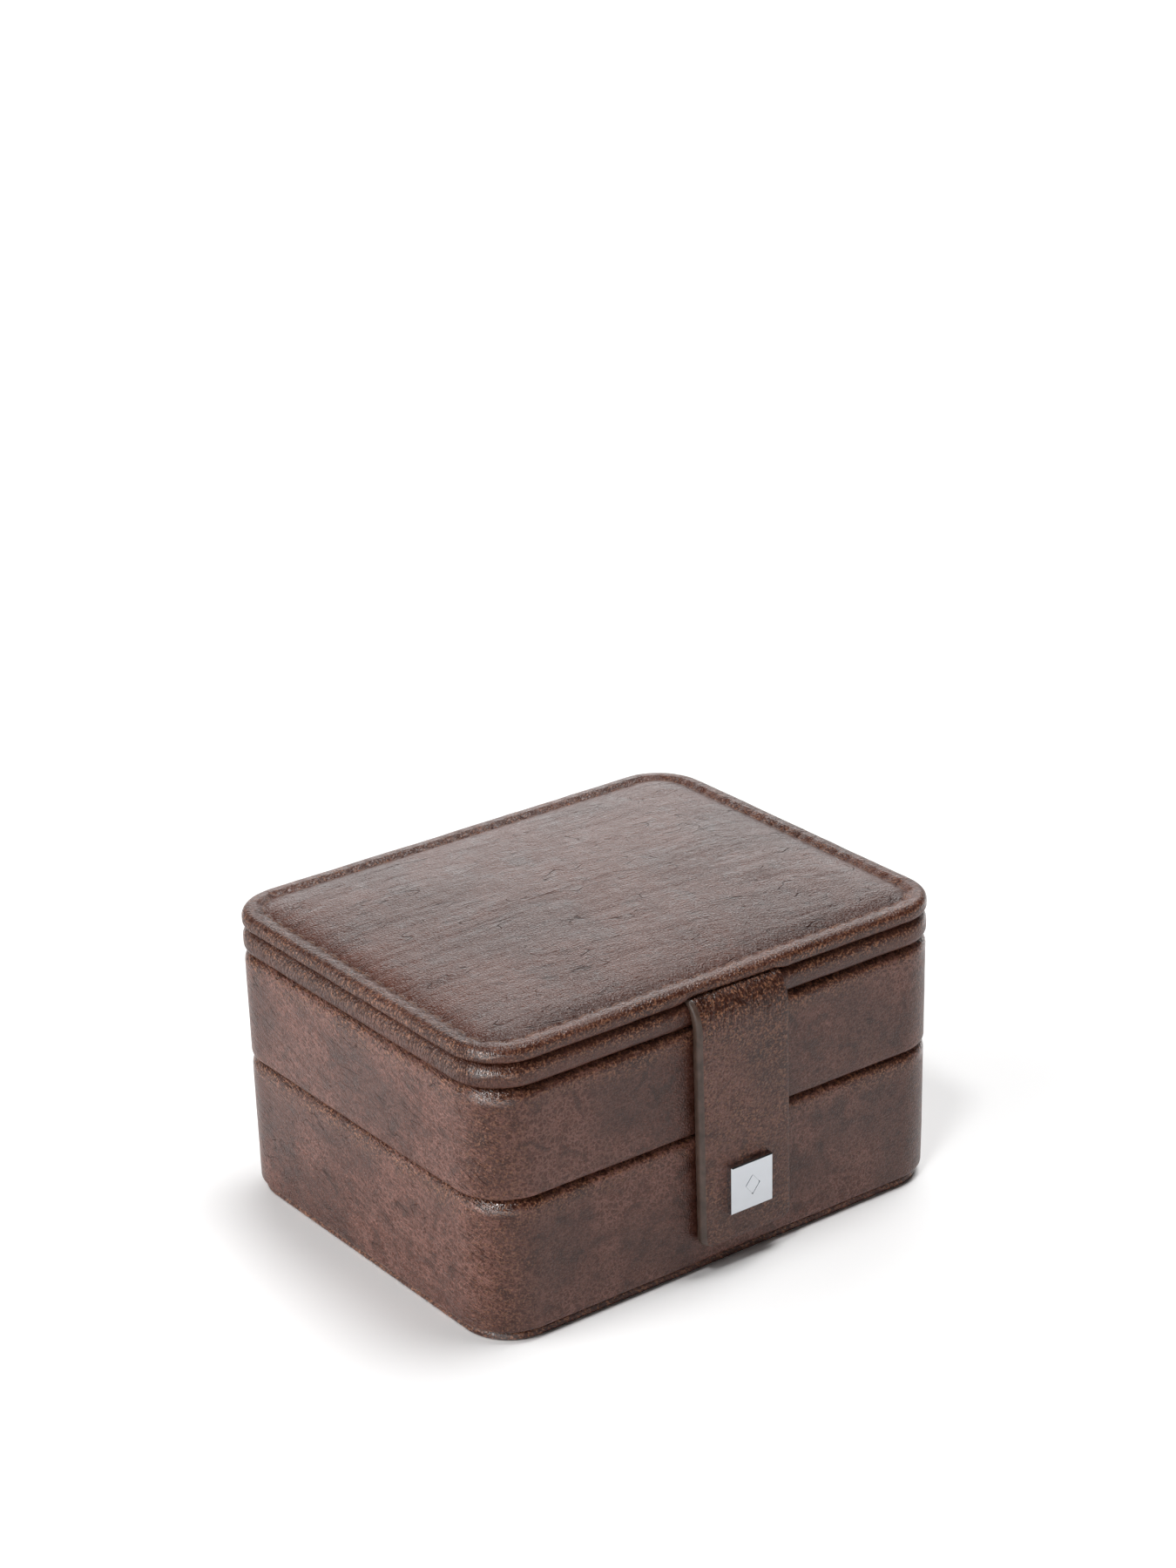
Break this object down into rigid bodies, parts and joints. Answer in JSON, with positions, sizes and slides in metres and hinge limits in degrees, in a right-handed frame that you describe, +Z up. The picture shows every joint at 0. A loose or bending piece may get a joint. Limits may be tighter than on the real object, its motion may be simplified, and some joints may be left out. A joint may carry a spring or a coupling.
{
  "type": "leather jewellery case",
  "caption": "Two-tier leather jewellery case with a padded stitched lid, a hinged upper tray, soft ring rolls, lined compartments and a front strap with a square metal plate.",
  "frame": {"origin": "middle of the underside, on the surface the case stands on", "axes": "+X along the front to the right as seen from the front, -Y towards the front and its strap, +Z up"},
  "size_m": [0.15, 0.1269, 0.0868],
  "materials": {
    "leather": "distressed pull-up leather, satin sheen",
    "plate_metal": "polished nickel",
    "steel": "plain",
    "mirror_glass": "mirror",
    "foam": "open-cell foam",
    "thread": "waxed thread",
    "suede": "short-nap suede cloth",
    "board": "plain fibre board"
  },
  "bodies": {
    "base": {"base_board": "board", "base_leather": "leather", "closure_keeper": "steel", "lower_back_board": "board", "lower_back_left_corner": "board", "lower_back_right_corner": "board", "lower_divider_left": "suede", "lower_divider_long": "suede", "lower_divider_right": "suede", "lower_floor_board": "board", "lower_floor_lining": "suede", "lower_front_board": "board", "lower_front_left_corner": "board", "lower_front_right_corner": "board", "lower_left_board": "board", "lower_right_board": "board", "lower_tray_leather": "leather", "lower_wall_lining": "suede", "spine_base_leaf": "leather"},
    "upper_tray": {"ring_roll_1": "suede", "ring_roll_2": "suede", "ring_roll_3": "suede", "ring_roll_4": "suede", "ring_roll_5": "suede", "ring_roll_6": "suede", "spine_tray_leaf": "leather", "upper_back_board": "board", "upper_back_left_corner": "board", "upper_back_right_corner": "board", "upper_divider_cross": "suede", "upper_divider_long": "suede", "upper_floor_board": "board", "upper_floor_lining": "suede", "upper_front_board": "board", "upper_front_left_corner": "board", "upper_front_right_corner": "board", "upper_left_board": "board", "upper_right_board": "board", "upper_tray_leather": "leather", "upper_underside": "suede", "upper_wall_lining": "suede"},
    "lid": {"lid_board": "board", "lid_cover": "leather", "lid_foam": "foam", "lid_panel_board": "board", "lid_panel_leather": "leather", "lid_panel_lining": "suede", "lid_stitching": "thread", "mirror": "mirror_glass", "mirror_bezel": "suede", "spine_lid_leaf": "leather", "strap_root": "leather"},
    "strap": {"front_plate": "plate_metal", "strap_backing": "leather", "strap_face": "leather", "strap_magnet": "steel"}
  },
  "joints": [
    {"name": "tray_hinge", "type": "hinge", "parent": "base", "child": "upper_tray", "pos_m": [0, 0.0606, 0.04085], "axis": [-1, 0, 0], "range_deg": [0, 80]},
    {"name": "lid_hinge", "type": "hinge", "parent": "upper_tray", "child": "lid", "pos_m": [0, 0.0606, 0.07145], "axis": [-1, 0, 0], "range_deg": [0, 95]},
    {"name": "strap_hinge", "type": "hinge", "parent": "lid", "child": "strap", "pos_m": [0.003, -0.061, 0.0784], "axis": [-1, 0, 0], "range_deg": [0, 120]}
  ]
}
